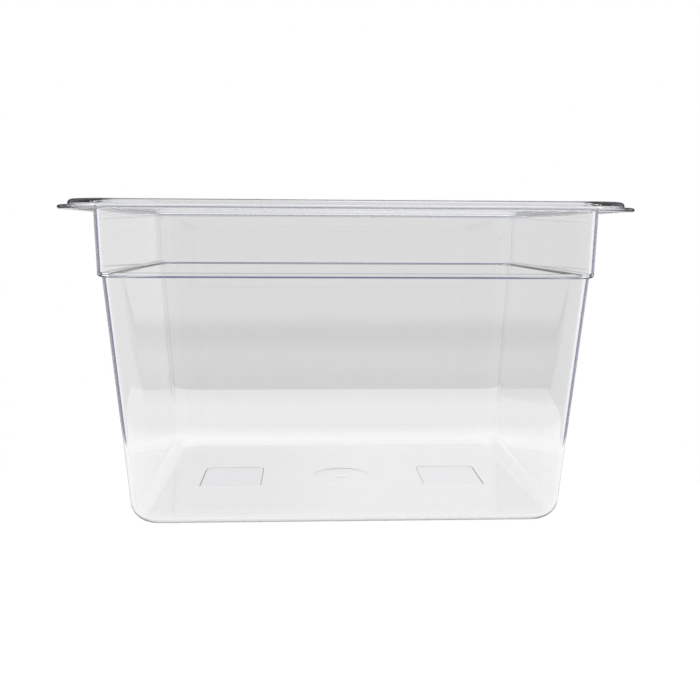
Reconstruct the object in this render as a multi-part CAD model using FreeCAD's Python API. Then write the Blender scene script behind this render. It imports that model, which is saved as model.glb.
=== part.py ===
import FreeCAD, Part
import math
import os

# Half-size food service pan, injection moulded in clear polycarbonate.
#
# The real pan is a single moulding. It is written here as the moulding's named zones: the outer
# lip and flange of the rim, the collar, the stacking shoulder, the tapered walls and corners, the
# bend at the base, the floor, its two label panels and its gate mark. The zones meet face to face.
#
# Millimetres. +X is the long side, +Y points to the back and +Z is up. The origin is the centre
# of the flat base, where the pan stands.

# Overall size, across the rim
LENGTH = 325.0
WIDTH = 265.0
HEIGHT = 192.0

# Rim: a flat flange that steps down to a thin outer lip
RIM_OVERHANG = 17.7
RIM_CORNER_RADIUS = 30.0
FLANGE_THICKNESS = 2.8
LIP_WIDTH = 5.5
LIP_THICKNESS = 2.3
LIP_DROP = 3.3
LIP_EDGE_RADIUS = 1.1
FLANGE_EDGE_RADIUS = 2.4

# Body
WALL = 2.8
FLOOR = 3.0
CORNER_RADIUS = 19.0
BASE_CORNER_RADIUS = 19.5
FLOOR_CORNER_RADIUS = 13.0
COLLAR_TAPER = 1.0
SHOULDER_HEIGHT = 148.6
SHOULDER_STEP = 2.0
SHOULDER_EDGE_RADIUS = 1.4
WALL_TAPER = 11.0
BASE_BEND_RADIUS = 12.5
SEAM_SETBACK = 2.0

# Marks under the floor: blank label panels and the disc round the injection gate
MARK_DEPTH = 1.0
LABEL_LENGTH = 42.0
LABEL_WIDTH = 50.0
LABEL_CORNER_RADIUS = 5.0
LABEL_CENTRE_X = 77.0
LABEL_THICKNESS = 0.6
GATE_DISC_RADIUS = 21.5
GATE_DISC_THICKNESS = 0.5
GATE_NUB_RADIUS = 6.3
GATE_NUB_HEIGHT = 0.3

# Worked out from the sizes above. An inset is a distance in from the rim's outer edge.
FLANGE_UNDERSIDE = HEIGHT - FLANGE_THICKNESS
LIP_TOP = HEIGHT - LIP_DROP
LIP_UNDERSIDE = LIP_TOP - LIP_THICKNESS
RISER_INSET = LIP_WIDTH + FLANGE_THICKNESS
COLLAR_FOOT_INSET = RIM_OVERHANG + COLLAR_TAPER
WALL_TOP_INSET = COLLAR_FOOT_INSET + SHOULDER_STEP
WALL_FOOT_INSET = WALL_TOP_INSET + WALL_TAPER
LEDGE_HEIGHT = SHOULDER_HEIGHT + WALL
WALL_LEAN = math.atan2(WALL_TAPER, SHOULDER_HEIGHT)
BEND_SEAM = BASE_BEND_RADIUS
BEND_INSET = WALL_FOOT_INSET + BASE_BEND_RADIUS * (1.0 / math.cos(WALL_LEAN) - math.tan(WALL_LEAN))

# How far cutting shapes run past the pan, and how closely two places must agree to count as one
REACH = 10.0
TOUCH = 1e-4


def outline(inset, height, radius):
    """Closed rounded rectangle, level, inset from the rim's outer edge."""
    x = LENGTH / 2.0 - inset
    y = WIDTH / 2.0 - inset
    edges = []
    for turn in range(4):
        along_x = turn % 2 == 0
        side = (x, y) if along_x else (y, x)
        frame = FreeCAD.Rotation(FreeCAD.Vector(0, 0, 1), 90.0 * turn)

        def spot(across, forward):
            return frame.multVec(FreeCAD.Vector(across, forward, 0)) + FreeCAD.Vector(0, 0, height)

        start = spot(side[0], radius - side[1])
        end = spot(side[0], side[1] - radius)
        slant = radius * math.sqrt(0.5)
        middle = spot(side[0] - radius + slant, side[1] - radius + slant)
        finish = spot(side[0] - radius, side[1])
        edges.append(Part.LineSegment(start, end).toShape())
        edges.append(Part.Arc(end, middle, finish).toShape())
    return Part.Wire(edges)


def block(*levels):
    """Solid through level outlines, each given as (inset, height, corner radius)."""
    return Part.makeLoft([outline(*level) for level in levels], True, True)


def upright_block(inset, low, high, radius):
    """Solid with upright sides and rounded corners."""
    return Part.Face(outline(inset, low, radius)).extrude(FreeCAD.Vector(0, 0, high - low))


def rim_block(inset, low, high):
    """Upright block whose plan keeps the rim's corner centres."""
    return upright_block(inset, low, high, RIM_CORNER_RADIUS - inset)


def level_edges(shape, height, inset_low, inset_high):
    """Edges that lie level at a height, within a band of insets from the rim's outer edge."""
    found = []
    for edge in shape.Edges:
        box = edge.BoundBox
        if abs(box.ZMin - height) > TOUCH or abs(box.ZMax - height) > TOUCH:
            continue
        inset = min(LENGTH / 2.0 - max(box.XMax, -box.XMin), WIDTH / 2.0 - max(box.YMax, -box.YMin))
        if inset_low - TOUCH <= inset <= inset_high + TOUCH:
            found.append(edge)
    return found


def rounded(shape, radius, height, inset_low, inset_high):
    """The shape with its level edges at a height and inset rounded over."""
    return shape.makeFillet(radius, level_edges(shape, height, inset_low, inset_high))


def rim():
    """Flange and lip, solid across the mouth, with the lip's edges and the step rounded."""
    lip = rim_block(0.0, LIP_UNDERSIDE, LIP_TOP)
    for height in (LIP_UNDERSIDE, LIP_TOP):
        lip = rounded(lip, LIP_EDGE_RADIUS, height, 0.0, LIP_EDGE_RADIUS)
    flange = rim_block(LIP_WIDTH, LIP_UNDERSIDE, HEIGHT)
    flange = rounded(flange, FLANGE_EDGE_RADIUS, HEIGHT, LIP_WIDTH, LIP_WIDTH)
    pocket = rim_block(RISER_INSET, LIP_UNDERSIDE - REACH, FLANGE_UNDERSIDE)
    return lip.fuse(flange).cut(pocket)


def outside():
    """Everything within the body's outer skin, below the rim."""
    collar = block(
        (COLLAR_FOOT_INSET, SHOULDER_HEIGHT, CORNER_RADIUS),
        (RIM_OVERHANG, FLANGE_UNDERSIDE, CORNER_RADIUS),
    )
    collar = rounded(collar, SHOULDER_EDGE_RADIUS, SHOULDER_HEIGHT, COLLAR_FOOT_INSET, COLLAR_FOOT_INSET)
    tub = block(
        (WALL_FOOT_INSET, 0.0, BASE_CORNER_RADIUS),
        (WALL_TOP_INSET, SHOULDER_HEIGHT, CORNER_RADIUS),
    )
    tub = rounded(tub, BASE_BEND_RADIUS, 0.0, WALL_FOOT_INSET, WALL_FOOT_INSET)
    return tub.fuse(collar)


def inside():
    """The space that holds food, open above the rim."""
    upper_radius = CORNER_RADIUS - WALL
    collar = block(
        (COLLAR_FOOT_INSET + WALL, LEDGE_HEIGHT, upper_radius),
        (RIM_OVERHANG + WALL, HEIGHT, upper_radius),
    )
    mouth = upright_block(RIM_OVERHANG + WALL, HEIGHT, HEIGHT + REACH, upper_radius)
    floor_inset = WALL_FOOT_INSET - FLOOR * math.tan(WALL_LEAN)
    tub = block(
        (floor_inset + WALL, FLOOR, BASE_CORNER_RADIUS - WALL),
        (WALL_TOP_INSET + WALL, LEDGE_HEIGHT, upper_radius),
    )
    tub = rounded(tub, BASE_BEND_RADIUS - WALL, FLOOR, floor_inset + WALL, floor_inset + WALL)
    return tub.fuse(collar).fuse(mouth)


def label_pocket(centre_x, low, high):
    """Upright block with rounded corners under the floor, for a label panel."""
    half_x = LABEL_LENGTH / 2.0
    half_y = LABEL_WIDTH / 2.0
    corner = FreeCAD.Vector(centre_x - half_x, -half_y, low)
    solid = Part.makeBox(LABEL_LENGTH, LABEL_WIDTH, high - low, corner)
    upright = [edge for edge in solid.Edges if edge.BoundBox.ZLength > (high - low) / 2.0]
    return solid.makeFillet(LABEL_CORNER_RADIUS, upright)


def disc(radius, low, high):
    """Round disc on the pan's centre line."""
    return Part.makeCylinder(radius, high - low, FreeCAD.Vector(0, 0, low))


def pan():
    """The whole moulding, before the marks are let into the floor."""
    shell = rim().fuse(outside()).cut(inside())
    shell = rounded(shell, FLANGE_EDGE_RADIUS, HEIGHT, RIM_OVERHANG + WALL, RIM_OVERHANG + WALL)
    shell = rounded(shell, SHOULDER_EDGE_RADIUS, LEDGE_HEIGHT, WALL_TOP_INSET + WALL, WALL_TOP_INSET + WALL)
    return shell


def slab(low, high):
    """Level slice of space, wider than the pan."""
    corner = FreeCAD.Vector(-LENGTH, -WIDTH, low)
    return Part.makeBox(2.0 * LENGTH, 2.0 * WIDTH, high - low, corner)


def wedge(half_side, along_x):
    """Space between the two upright seams where a flat wall meets its corner zones."""
    half_top = half_side - WALL_TOP_INSET - CORNER_RADIUS - SEAM_SETBACK
    half_foot = half_side - WALL_FOOT_INSET - BASE_CORNER_RADIUS - SEAM_SETBACK
    profile = [
        (-half_foot, 0.0),
        (half_foot, 0.0),
        (half_top, SHOULDER_HEIGHT),
        (-half_top, SHOULDER_HEIGHT),
        (-half_foot, 0.0),
    ]
    if along_x:
        points = [FreeCAD.Vector(across, -WIDTH, height) for across, height in profile]
        return Part.Face(Part.makePolygon(points)).extrude(FreeCAD.Vector(0, 2.0 * WIDTH, 0))
    points = [FreeCAD.Vector(-LENGTH, across, height) for across, height in profile]
    return Part.Face(Part.makePolygon(points)).extrude(FreeCAD.Vector(2.0 * LENGTH, 0, 0))


def quadrant(side_x, side_y):
    """Upright quarter of space; a side of 0 spans both halves."""
    low_x = 0.0 if side_x > 0 else -LENGTH
    low_y = 0.0 if side_y > 0 else -WIDTH
    size_x = LENGTH if side_x else 2.0 * LENGTH
    size_y = WIDTH if side_y else 2.0 * WIDTH
    return Part.makeBox(size_x, size_y, 2.0 * HEIGHT, FreeCAD.Vector(low_x, low_y, -REACH))


def tub_zones(shell):
    """The tapered tub below the shoulder: flat walls, rounded corners, base bend and floor."""
    zones = {}
    walls = shell.common(slab(BEND_SEAM, SHOULDER_HEIGHT))
    seams_x = wedge(LENGTH / 2.0, True)
    seams_y = wedge(WIDTH / 2.0, False)
    zones["wall_front"] = walls.common(seams_x).common(quadrant(0, -1))
    zones["wall_back"] = walls.common(seams_x).common(quadrant(0, 1))
    zones["wall_left"] = walls.common(seams_y).common(quadrant(-1, 0))
    zones["wall_right"] = walls.common(seams_y).common(quadrant(1, 0))
    corners = walls.cut(seams_x).cut(seams_y)
    for end, side_y in (("front", -1), ("back", 1)):
        for hand, side_x in (("left", -1), ("right", 1)):
            zones["corner_" + end + "_" + hand] = corners.common(quadrant(side_x, side_y))
    foot = shell.common(slab(-REACH, BEND_SEAM))
    flat = upright_block(BEND_INSET, -REACH, BEND_SEAM, FLOOR_CORNER_RADIUS)
    zones["base_bend"] = foot.cut(flat)
    zones["floor"] = foot.common(flat)
    return zones


def floor_marks():
    """Blank label panels and gate mark, each set a little above the plane that the pan stands on."""
    marks = {}
    for hand, side in (("left", -1), ("right", 1)):
        low = MARK_DEPTH - LABEL_THICKNESS
        marks["label_panel_" + hand] = label_pocket(side * LABEL_CENTRE_X, low, MARK_DEPTH)
    disc_low = MARK_DEPTH - GATE_DISC_THICKNESS
    gate = disc(GATE_DISC_RADIUS, disc_low, MARK_DEPTH)
    marks["gate_mark"] = gate.fuse(disc(GATE_NUB_RADIUS, disc_low - GATE_NUB_HEIGHT, disc_low))
    return marks


def zones():
    """Every named zone of the moulding."""
    shell = pan()
    inner_space = rim_block(LIP_WIDTH, -REACH, HEIGHT + REACH)
    under_flange = rim_block(RISER_INSET, -REACH, FLANGE_UNDERSIDE)
    named = {"rim_lip": shell.cut(inner_space)}
    named["rim_flange"] = shell.common(inner_space).cut(under_flange)
    named["collar"] = shell.common(under_flange).common(slab(LEDGE_HEIGHT, FLANGE_UNDERSIDE))
    named["stacking_shoulder"] = shell.common(slab(SHOULDER_HEIGHT, LEDGE_HEIGHT))
    named.update(tub_zones(shell))
    for side in (-1, 1):
        named["floor"] = named["floor"].cut(label_pocket(side * LABEL_CENTRE_X, -REACH, MARK_DEPTH))
    named["floor"] = named["floor"].cut(disc(GATE_DISC_RADIUS, -REACH, MARK_DEPTH))
    named.update(floor_marks())
    return named


os.makedirs("parts", exist_ok=True)
for name, shape in zones().items():
    shape = shape.removeSplitter()
    if len(shape.Solids) != 1 or not shape.isValid():
        raise RuntimeError(name + " is not one valid solid")
    shape.Solids[0].exportStep("parts/" + name + ".step")
    print(name, round(shape.Volume / 1000.0, 2), "cm3")
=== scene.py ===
import math

import bmesh
import bpy
from mathutils import Matrix, Vector


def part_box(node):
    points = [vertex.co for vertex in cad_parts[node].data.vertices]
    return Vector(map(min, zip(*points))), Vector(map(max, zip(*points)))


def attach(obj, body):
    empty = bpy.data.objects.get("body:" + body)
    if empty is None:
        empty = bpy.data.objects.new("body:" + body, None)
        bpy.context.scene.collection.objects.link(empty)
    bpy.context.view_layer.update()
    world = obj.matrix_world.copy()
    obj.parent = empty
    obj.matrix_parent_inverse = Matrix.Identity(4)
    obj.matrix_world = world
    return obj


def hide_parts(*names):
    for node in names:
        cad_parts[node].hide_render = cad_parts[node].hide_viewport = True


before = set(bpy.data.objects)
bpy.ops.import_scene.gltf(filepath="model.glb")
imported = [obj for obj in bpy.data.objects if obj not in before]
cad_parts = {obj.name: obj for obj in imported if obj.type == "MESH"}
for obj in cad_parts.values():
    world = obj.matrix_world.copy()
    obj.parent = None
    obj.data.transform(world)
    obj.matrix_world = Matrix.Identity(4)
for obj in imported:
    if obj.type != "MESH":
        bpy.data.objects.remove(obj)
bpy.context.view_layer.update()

# Clear moulded food pan. The visible piece is one seamless shell, swept round the frame's zones.
# Metres throughout. An inset is a distance in from the rim's outer edge.

# ---------------------------------------------------------------- sizes read from the frame
RIM_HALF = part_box("rim_lip")[1].xy
LIP_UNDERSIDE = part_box("rim_lip")[0].z
LIP_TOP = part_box("rim_lip")[1].z
RIM_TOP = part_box("rim_flange")[1].z
FLANGE_INSET = RIM_HALF.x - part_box("rim_flange")[1].x
FLANGE_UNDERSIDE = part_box("collar")[1].z
COLLAR_TOP_INSET = RIM_HALF.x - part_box("collar")[1].x
COLLAR_FOOT_INSET = RIM_HALF.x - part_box("stacking_shoulder")[1].x
LEDGE_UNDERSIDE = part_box("stacking_shoulder")[0].z
LEDGE_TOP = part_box("stacking_shoulder")[1].z
WALL_TOP_INSET = RIM_HALF.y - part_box("wall_back")[1].y
BEND_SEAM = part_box("base_bend")[1].z
BEND_SEAM_INSET = RIM_HALF.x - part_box("base_bend")[1].x
FLOOR_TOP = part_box("floor")[1].z
FLOOR_INSET = RIM_HALF.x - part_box("floor")[1].x
LABEL_BOXES = [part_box("label_panel_left"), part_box("label_panel_right")]
GATE_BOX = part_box("gate_mark")

# ---------------------------------------------------------------- sizes of rounded stretches
WALL = LEDGE_TOP - LEDGE_UNDERSIDE
RIM_CORNER_RADIUS = 0.030
CORNER_RADIUS = 0.019
BASE_CORNER_RADIUS = 0.0195
BEND_RADIUS = 0.0125
SHOULDER_EDGE = 0.0018
INNER_EDGE = 0.0002
INNER_CREASE = 0.00015
CREASE = 0.0008
RIM_UNDER_CREASE = 0.002
LIP_EDGE = 0.00112
FLANGE_EDGE = 0.0024
CORNER_STEPS = 20
EDGE_STEPS = 6
BEND_STEPS = 16

LABEL_CORNER_RADIUS = 0.005
LABEL_CORNER_STEPS = 8
GATE_NUB_RADIUS = 0.0063
GATE_NUB_STEPS = 8
GATE_DEPTH = 0.0001
GATE_SLOPE = 0.003
GATE_NUB_HEIGHT = 0.00009
GATE_STEPS = 72
MARK_SLOPE = 0.0009


# ---------------------------------------------------------------- the pan's section
def mix(a, b, share):
    """Point part of the way from a to b."""
    return tuple(p + (q - p) * share for p, q in zip(a, b))


def rounded_corner(before, at, after, radius, steps):
    """Stations of a tangent arc that rounds one corner of the section.

    A station is (inset, height, plan radius). On the arc the plan radius follows the steeper of the
    two faces, so the rounded edge keeps its section all the way round the pan's corners.
    """
    here = Vector(at[:2])
    back = Vector(before[:2]) - here
    ahead = Vector(after[:2]) - here
    half_turn = back.angle(ahead) / 2.0
    run = radius / math.tan(half_turn)
    first = mix(at, before, run / back.length)
    last = mix(at, after, run / ahead.length)
    middle = here + (back.normalized() + ahead.normalized()).normalized() * radius / math.sin(half_turn)
    steep = first if abs(back.normalized().y) > abs(ahead.normalized().y) else last
    spoke = Vector(first[:2]) - middle
    sweep = spoke.angle_signed(Vector(last[:2]) - middle)
    stations = []
    for step in range(steps + 1):
        point = middle + Matrix.Rotation(-sweep * step / steps, 2) @ spoke
        stations.append((point.x, point.y, steep[2] + steep[0] - point.x))
    return stations


def section():
    """Closed run of stations from the edge of the flat underside, up the outside and back down inside."""
    slope = (BEND_SEAM_INSET - WALL_TOP_INSET) / (LEDGE_UNDERSIDE - BEND_SEAM)
    foot_inset = WALL_TOP_INSET + slope * LEDGE_UNDERSIDE
    inner_foot_inset = foot_inset - slope * FLOOR_TOP + WALL
    riser_inset = FLANGE_INSET + RIM_TOP - FLANGE_UNDERSIDE
    inner_radius = CORNER_RADIUS - WALL
    base_inner_radius = BASE_CORNER_RADIUS - WALL

    def rim(inset, height):
        return (inset, height, RIM_CORNER_RADIUS - inset)

    corners = [
        ((foot_inset, 0.0, BASE_CORNER_RADIUS), BEND_RADIUS, BEND_STEPS),
        ((WALL_TOP_INSET, LEDGE_UNDERSIDE, CORNER_RADIUS), INNER_CREASE, EDGE_STEPS),
        ((COLLAR_FOOT_INSET, LEDGE_UNDERSIDE, CORNER_RADIUS), SHOULDER_EDGE, EDGE_STEPS),
        ((COLLAR_TOP_INSET, FLANGE_UNDERSIDE, CORNER_RADIUS), RIM_UNDER_CREASE, EDGE_STEPS),
        (rim(riser_inset, FLANGE_UNDERSIDE), CREASE, EDGE_STEPS),
        (rim(riser_inset, LIP_UNDERSIDE), CREASE, EDGE_STEPS),
        (rim(0.0, LIP_UNDERSIDE), LIP_EDGE, EDGE_STEPS),
        (rim(0.0, LIP_TOP), LIP_EDGE, EDGE_STEPS),
        (rim(FLANGE_INSET, LIP_TOP), CREASE, EDGE_STEPS),
        (rim(FLANGE_INSET, RIM_TOP), FLANGE_EDGE, EDGE_STEPS),
        ((COLLAR_TOP_INSET + WALL, RIM_TOP, inner_radius), FLANGE_EDGE, EDGE_STEPS),
        ((COLLAR_FOOT_INSET + WALL, LEDGE_TOP, inner_radius), INNER_CREASE, EDGE_STEPS),
        ((WALL_TOP_INSET + WALL, LEDGE_TOP, inner_radius), INNER_EDGE, EDGE_STEPS),
        ((inner_foot_inset, FLOOR_TOP, base_inner_radius), BEND_RADIUS - WALL, BEND_STEPS),
    ]
    flat_radius = BASE_CORNER_RADIUS - BEND_RADIUS
    start = (FLOOR_INSET, 0.0, flat_radius)
    finish = (FLOOR_INSET, FLOOR_TOP, flat_radius)
    posts = [start] + [corner[0] for corner in corners] + [finish]
    stations = []
    for index, (at, radius, steps) in enumerate(corners):
        stations += rounded_corner(posts[index], at, posts[index + 2], radius, steps)
    return stations


# ---------------------------------------------------------------- the shell's mesh
def rounded_rectangle(half_x, half_y, radius, height, steps, centre_x=0.0):
    """Level loop of points, counter-clockwise from above."""
    points = []
    for quarter, (side_x, side_y) in enumerate(((1, 1), (-1, 1), (-1, -1), (1, -1))):
        for step in range(steps + 1):
            angle = math.pi / 2.0 * (quarter + step / steps)
            x = side_x * (half_x - radius) + radius * math.cos(angle)
            y = side_y * (half_y - radius) + radius * math.sin(angle)
            points.append(Vector((centre_x + x, y, height)))
    return points


def circle(radius, height, steps):
    """Level round loop of points on the pan's centre line, counter-clockwise from above."""
    turns = [2.0 * math.pi * step / steps for step in range(steps)]
    return [Vector((radius * math.cos(turn), radius * math.sin(turn), height)) for turn in turns]


def add_loop(mesh, points):
    """New vertices of a loop."""
    return [mesh.verts.new(point) for point in points]


def bridge(mesh, lower, upper, material=0):
    """Band of faces between two loops of the same count."""
    for index in range(len(lower)):
        follower = (index + 1) % len(lower)
        face = mesh.faces.new((lower[index], lower[follower], upper[follower], upper[index]))
        face.material_index = material


def cap(mesh, loop, material=0):
    """Flat face that closes a loop."""
    mesh.faces.new(loop).material_index = material


def loop_edges(mesh, loop):
    """Edges of a closed loop, made where they are missing."""
    edges = []
    for index, vertex in enumerate(loop):
        pair = (vertex, loop[(index + 1) % len(loop)])
        edges.append(mesh.edges.get(pair) or mesh.edges.new(pair))
    return edges


def label_recess(mesh, box):
    """Shallow recess under the floor with a frosted flat; returns the loop at the underside."""
    low, high = box
    centre_x = (low.x + high.x) / 2.0
    half = (high.xy - low.xy) / 2.0
    mouth = rounded_rectangle(half.x, half.y, LABEL_CORNER_RADIUS, 0.0, LABEL_CORNER_STEPS, centre_x)
    roof = rounded_rectangle(
        half.x - MARK_SLOPE, half.y - MARK_SLOPE, LABEL_CORNER_RADIUS - MARK_SLOPE,
        low.z, LABEL_CORNER_STEPS, centre_x,
    )
    mouth_loop = add_loop(mesh, mouth)
    roof_loop = add_loop(mesh, roof)
    bridge(mesh, mouth_loop, roof_loop)
    cap(mesh, roof_loop, 1)
    return mouth_loop


def gate_recess(mesh):
    """Round recess under the floor with the injection nub in its middle; returns the outer loop."""
    radius = GATE_BOX[1].x
    rings = [(radius, 0.0), (radius - GATE_SLOPE, GATE_DEPTH)]
    for step in range(GATE_NUB_STEPS + 1):
        share = step / GATE_NUB_STEPS
        fall = GATE_NUB_HEIGHT * (1.0 - math.cos(math.pi * share)) / 2.0
        rings.append((GATE_NUB_RADIUS * (1.0 - 0.9 * share), GATE_DEPTH - fall))
    loops = [add_loop(mesh, circle(ring, height, GATE_STEPS)) for ring, height in rings]
    for lower, upper in zip(loops, loops[1:]):
        bridge(mesh, lower, upper)
    cap(mesh, loops[-1])
    return loops[0]


def make_shell():
    """The whole moulding as one closed mesh."""
    mesh = bmesh.new()
    loops = []
    for inset, height, radius in section():
        points = rounded_rectangle(RIM_HALF.x - inset, RIM_HALF.y - inset, radius, height, CORNER_STEPS)
        loops.append(add_loop(mesh, points))
    for lower, upper in zip(loops, loops[1:]):
        bridge(mesh, lower, upper)
    cap(mesh, loops[-1])
    rims = [loops[0], gate_recess(mesh)] + [label_recess(mesh, box) for box in LABEL_BOXES]
    edges = [edge for rim in rims for edge in loop_edges(mesh, rim)]
    for edge in edges:
        edge.smooth = False
    bmesh.ops.triangle_fill(mesh, edges=edges, use_beauty=True, normal=(0.0, 0.0, -1.0))
    bmesh.ops.recalc_face_normals(mesh, faces=mesh.faces)
    for face in mesh.faces:
        face.smooth = True
    data = bpy.data.meshes.new("pan_shell")
    mesh.to_mesh(data)
    mesh.free()
    shell = bpy.data.objects.new("pan_shell", data)
    bpy.context.scene.collection.objects.link(shell)
    weighted = shell.modifiers.new("even_shading", "WEIGHTED_NORMAL")
    weighted.keep_sharp = True
    weighted.weight = 100
    return shell


# ---------------------------------------------------------------- materials
def new_material(name):
    """Material with its node tree, Principled shader and output."""
    material = bpy.data.materials.new(name)
    material.use_nodes = True
    nodes = material.node_tree.nodes
    return material, nodes, material.node_tree.links, nodes["Principled BSDF"], nodes["Material Output"]


def noise(nodes, links, coordinates, scale, detail, stretch=(1.0, 1.0, 1.0)):
    """Noise texture in object space, stretched along chosen axes."""
    mapping = nodes.new("ShaderNodeMapping")
    mapping.inputs["Scale"].default_value = stretch
    links.new(coordinates, mapping.inputs["Vector"])
    texture = nodes.new("ShaderNodeTexNoise")
    texture.inputs["Scale"].default_value = scale
    texture.inputs["Detail"].default_value = detail
    links.new(mapping.outputs["Vector"], texture.inputs["Vector"])
    return texture.outputs["Fac"]


def remap(nodes, links, value, low, high, to_low, to_high):
    """Value carried from one range to another, clamped."""
    node = nodes.new("ShaderNodeMapRange")
    node.inputs["From Min"].default_value = low
    node.inputs["From Max"].default_value = high
    node.inputs["To Min"].default_value = to_low
    node.inputs["To Max"].default_value = to_high
    links.new(value, node.inputs["Value"])
    return node.outputs["Result"]


def bump(nodes, links, height, strength, distance, onto=None):
    """Bump normal, laid over another if given."""
    node = nodes.new("ShaderNodeBump")
    node.inputs["Strength"].default_value = strength
    node.inputs["Distance"].default_value = distance
    links.new(height, node.inputs["Height"])
    if onto is not None:
        links.new(onto, node.inputs["Normal"])
    return node.outputs["Normal"]


PLASTIC_COLOUR = (0.99, 0.99, 0.99, 1.0)
PLASTIC_IOR = 1.585
EDGE_TINT = (0.0, 0.08, 0.45, 1.0)
TINT_DENSITY = 4.0
CLEAR_ROUGHNESS = 0.04
FROSTED_ROUGHNESS = 0.06
SCUFF_SCALE = 160.0
SCUFF_STRETCH = (1.0, 1.0, 0.25)
SCUFF_RANGE = (0.45, 0.8)
WAVE_SCALE = 14.0
WAVE_STRENGTH = 0.12
WAVE_HEIGHT = 0.0006
GRAIN_SCALE = 2400.0
GRAIN_STRENGTH = 0.06
GRAIN_HEIGHT = 0.00006


def polycarbonate(name, roughness, frosted):
    """Clear, violet-edged polycarbonate: slow waves of the moulding, faint scuffs and a frosted grain."""
    material, nodes, links, shader, output = new_material(name)
    shader.inputs["Base Color"].default_value = PLASTIC_COLOUR
    shader.inputs["Transmission Weight"].default_value = 1.0
    shader.inputs["IOR"].default_value = PLASTIC_IOR
    place = nodes.new("ShaderNodeTexCoord").outputs["Object"]
    scuffs = noise(nodes, links, place, SCUFF_SCALE, 6.0, SCUFF_STRETCH)
    links.new(remap(nodes, links, scuffs, *SCUFF_RANGE, 0.0, roughness), shader.inputs["Roughness"])
    waves = noise(nodes, links, place, WAVE_SCALE, 1.0)
    surface = bump(nodes, links, waves, WAVE_STRENGTH, WAVE_HEIGHT)
    if frosted:
        grain = noise(nodes, links, place, GRAIN_SCALE, 2.0)
        surface = bump(nodes, links, grain, GRAIN_STRENGTH, GRAIN_HEIGHT, surface)
    links.new(surface, shader.inputs["Normal"])
    volume = nodes.new("ShaderNodeVolumeAbsorption")
    volume.inputs["Color"].default_value = EDGE_TINT
    volume.inputs["Density"].default_value = TINT_DENSITY
    links.new(volume.outputs["Volume"], output.inputs["Volume"])
    return material


# ---------------------------------------------------------------- stage
WHITE = (1.0, 1.0, 1.0, 1.0)
TABLE_FRONT = -0.317
TABLE_BACK = 0.36
TABLE_HALF_WIDTH = 0.25
TABLE_GAP = 0.0002
FLOOR_GLOW = 0.80
BACK_GLOW = 0.66
FLOOR_GLOW_SEEN = 0.91
FLOOR_ALBEDO = 0.2


def make_floor():
    """Pale table top with painted light: it glows, most to the camera, less to the pan and least to it from
    behind.
    """
    mesh = bmesh.new()
    outline = [
        (-TABLE_HALF_WIDTH, TABLE_FRONT), (TABLE_HALF_WIDTH, TABLE_FRONT),
        (TABLE_HALF_WIDTH, TABLE_BACK), (-TABLE_HALF_WIDTH, TABLE_BACK),
    ]
    mesh.faces.new([mesh.verts.new((x, y, 0.0)) for x, y in outline])
    data = bpy.data.meshes.new("table_top")
    mesh.to_mesh(data)
    mesh.free()
    floor = bpy.data.objects.new("table_top", data)
    floor.location.z = -TABLE_GAP
    bpy.context.scene.collection.objects.link(floor)
    material, nodes, links, shader, output = new_material("pale_table")
    shader.inputs["Base Color"].default_value = (FLOOR_ALBEDO, FLOOR_ALBEDO, FLOOR_ALBEDO, 1.0)
    shader.inputs["Roughness"].default_value = 1.0
    shader.inputs["Specular IOR Level"].default_value = 0.0
    shader.inputs["Emission Color"].default_value = WHITE
    place = nodes.new("ShaderNodeSeparateXYZ")
    links.new(nodes.new("ShaderNodeTexCoord").outputs["Object"], place.inputs["Vector"])
    # Painted light: the glow fades from the pan's back rim towards the back of the table, standing in for
    # studio light falling off there.
    glow = remap(nodes, links, place.outputs["Y"], RIM_HALF.y, TABLE_BACK / 2.0, FLOOR_GLOW, BACK_GLOW)
    seen = nodes.new("ShaderNodeMix")
    links.new(nodes.new("ShaderNodeLightPath").outputs["Is Camera Ray"], seen.inputs["Factor"])
    links.new(glow, seen.inputs["A"])
    seen.inputs["B"].default_value = FLOOR_GLOW_SEEN
    links.new(seen.outputs["Result"], shader.inputs["Emission Strength"])
    data.materials.append(material)


# Studio. The camera sees pure white all round. Through the pan lie a grey sweep, a navy gap above it and
# a soft light overhead. What the pan mirrors is a grey sweep behind, darker on the left, navy flags beside
# it, white beyond them, a softbox above, and towards the viewer a pale room with two dark bands. What
# the table scatters meets white. Heights are a direction's z, bearings are how far it points back, and
# the room goes by the direction's slope.
NAVY = (0.07, 0.085, 0.19, 1.0)
SWEEP = (0.70, 0.70, 0.695, 1.0)
LEFT_SWEEP = (0.73, 0.73, 0.73, 1.0)
RIGHT_SWEEP = (0.87, 0.87, 0.87, 1.0)
OVERHEAD = (1.2, 1.2, 1.2, 1.0)
SOFTBOX = (1.8, 1.8, 1.8, 1.0)
SEEN_THROUGH = ((0.09, SWEEP), (0.13, NAVY), (0.68, NAVY), (0.80, OVERHEAD))
MIRRORED_LEFT = ((0.58, WHITE), (0.66, NAVY), (0.80, NAVY), (0.87, LEFT_SWEEP))
MIRRORED_RIGHT = ((0.58, WHITE), (0.66, NAVY), (0.80, NAVY), (0.87, RIGHT_SWEEP))
MIRRORED_UP = ((0.80, WHITE), (0.86, SOFTBOX), (0.91, WHITE), (1.0, WHITE))
ROOM = ((-0.36, 0.9), (-0.335, 0.2), (-0.30, 0.5), (-0.268, 0.0), (-0.24, 0.88))


LEFT_TO_RIGHT = (-0.05, 0.05)
ROOM_STARTS = (0.7, 0.85)
CEILING_STARTS = (0.5, 0.7)
SAFE_LEVEL = 1.0001
SAFE_DIVISOR = 0.001


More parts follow.
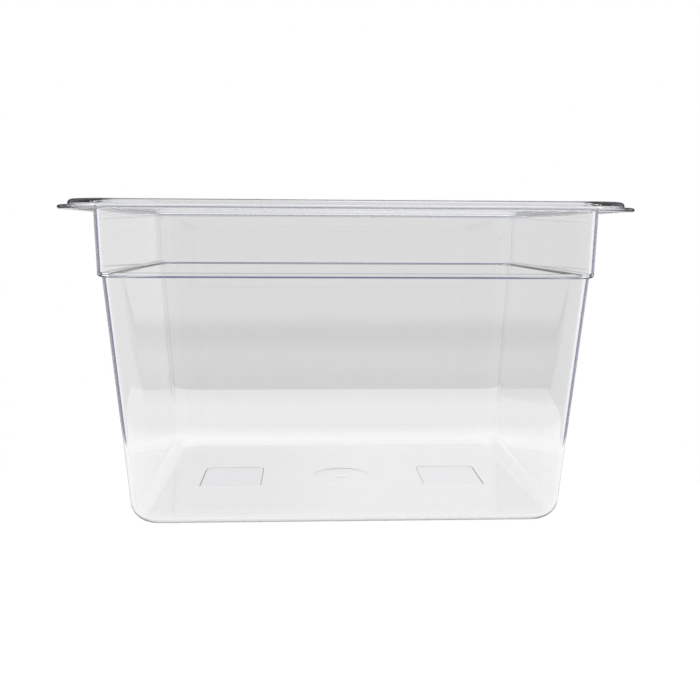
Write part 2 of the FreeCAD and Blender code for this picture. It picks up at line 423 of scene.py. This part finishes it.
def make_world():
    """White surroundings, with what the pan sees and mirrors told apart."""
    world = bpy.data.worlds.new("studio")
    world.use_nodes = True
    bpy.context.scene.world = world
    nodes = world.node_tree.nodes
    links = world.node_tree.links

    def calculate(operation, first, second):
        node = nodes.new("ShaderNodeMath")
        node.operation = operation
        for socket, value in zip(node.inputs, (first, second)):
            if isinstance(value, float):
                socket.default_value = value
            else:
                links.new(value, socket)
        return node.outputs["Value"]

    def graded(value, stops):
        low, high = stops[0][0], stops[-1][0]
        ramp = nodes.new("ShaderNodeValToRGB")
        ramp.color_ramp.interpolation = "EASE"
        elements = ramp.color_ramp.elements
        while len(elements) < len(stops):
            elements.new(0.5)
        for element, (place, colour) in zip(elements, stops):
            element.position = (place - low) / (high - low)
            element.color = colour
        links.new(remap(nodes, links, value, low, high, 0.0, 1.0), ramp.inputs["Fac"])
        return ramp.outputs["Color"]

    def blend(share, first, second):
        node = nodes.new("ShaderNodeMix")
        node.data_type = "RGBA"
        links.new(share, node.inputs["Factor"])
        for name, colour in (("A", first), ("B", second)):
            socket = [item for item in node.inputs if item.name == name and item.type == "RGBA"][0]
            if isinstance(colour, tuple):
                socket.default_value = colour
            else:
                links.new(colour, socket)
        return [item for item in node.outputs if item.type == "RGBA"][0]

    direction = nodes.new("ShaderNodeSeparateXYZ")
    links.new(nodes.new("ShaderNodeTexCoord").outputs["Generated"], direction.inputs["Vector"])
    up = direction.outputs["Z"]
    level = calculate("SQRT", calculate("SUBTRACT", SAFE_LEVEL, calculate("MULTIPLY", up, up)), 0.0)
    behind = calculate("DIVIDE", direction.outputs["Y"], level)
    towards_viewer = calculate("MAXIMUM", calculate("MULTIPLY", direction.outputs["Y"], -1.0), SAFE_DIVISOR)
    steepness = calculate("DIVIDE", up, towards_viewer)
    room = graded(steepness, [(place, (value, value, value, 1.0)) for place, value in ROOM])
    to_right = remap(nodes, links, direction.outputs["X"], *LEFT_TO_RIGHT, 0.0, 1.0)
    round_about = blend(to_right, graded(behind, MIRRORED_LEFT), graded(behind, MIRRORED_RIGHT))
    mirrored = blend(remap(nodes, links, towards_viewer, *ROOM_STARTS, 0.0, 1.0), round_about, room)
    mirrored = blend(remap(nodes, links, up, *CEILING_STARTS, 0.0, 1.0), mirrored, graded(up, MIRRORED_UP))
    path = nodes.new("ShaderNodeLightPath")
    once_mirrored = calculate("MINIMUM", path.outputs["Glossy Depth"], 1.0)
    light = blend(once_mirrored, graded(up, SEEN_THROUGH), mirrored)
    light = blend(calculate("MINIMUM", path.outputs["Diffuse Depth"], 1.0), light, WHITE)
    links.new(blend(path.outputs["Is Camera Ray"], light, WHITE), nodes["Background"].inputs["Color"])


# ---------------------------------------------------------------- camera
CAMERA_PLACE = (-0.0230, -0.5967, 0.1744)
CAMERA_TURN = -2.75
CAMERA_DIP = 7.78
CAMERA_ROLL = 0.31
CAMERA_LENS = 44.3


def make_camera():
    """Camera just below the rim's height, a little left of centre, tilted down and turned slightly right."""
    data = bpy.data.cameras.new("camera")
    data.sensor_width = 36.0
    data.lens = CAMERA_LENS
    data.clip_start = 0.01
    camera = bpy.data.objects.new("camera", data)
    turn = Matrix.Rotation(math.radians(CAMERA_TURN), 4, "Z")
    tilt = Matrix.Rotation(math.radians(90.0 - CAMERA_DIP), 4, "X")
    roll = Matrix.Rotation(math.radians(CAMERA_ROLL), 4, "Z")
    camera.matrix_world = Matrix.Translation(CAMERA_PLACE) @ turn @ tilt @ roll
    bpy.context.scene.collection.objects.link(camera)
    bpy.context.scene.camera = camera


# ---------------------------------------------------------------- build
shell = make_shell()
shell.data.materials.append(polycarbonate("clear_polycarbonate", CLEAR_ROUGHNESS, False))
shell.data.materials.append(polycarbonate("frosted_polycarbonate", FROSTED_ROUGHNESS, True))
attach(shell, "root")
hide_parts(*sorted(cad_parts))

make_floor()
make_world()
make_camera()
bpy.context.scene.view_settings.view_transform = "Standard"
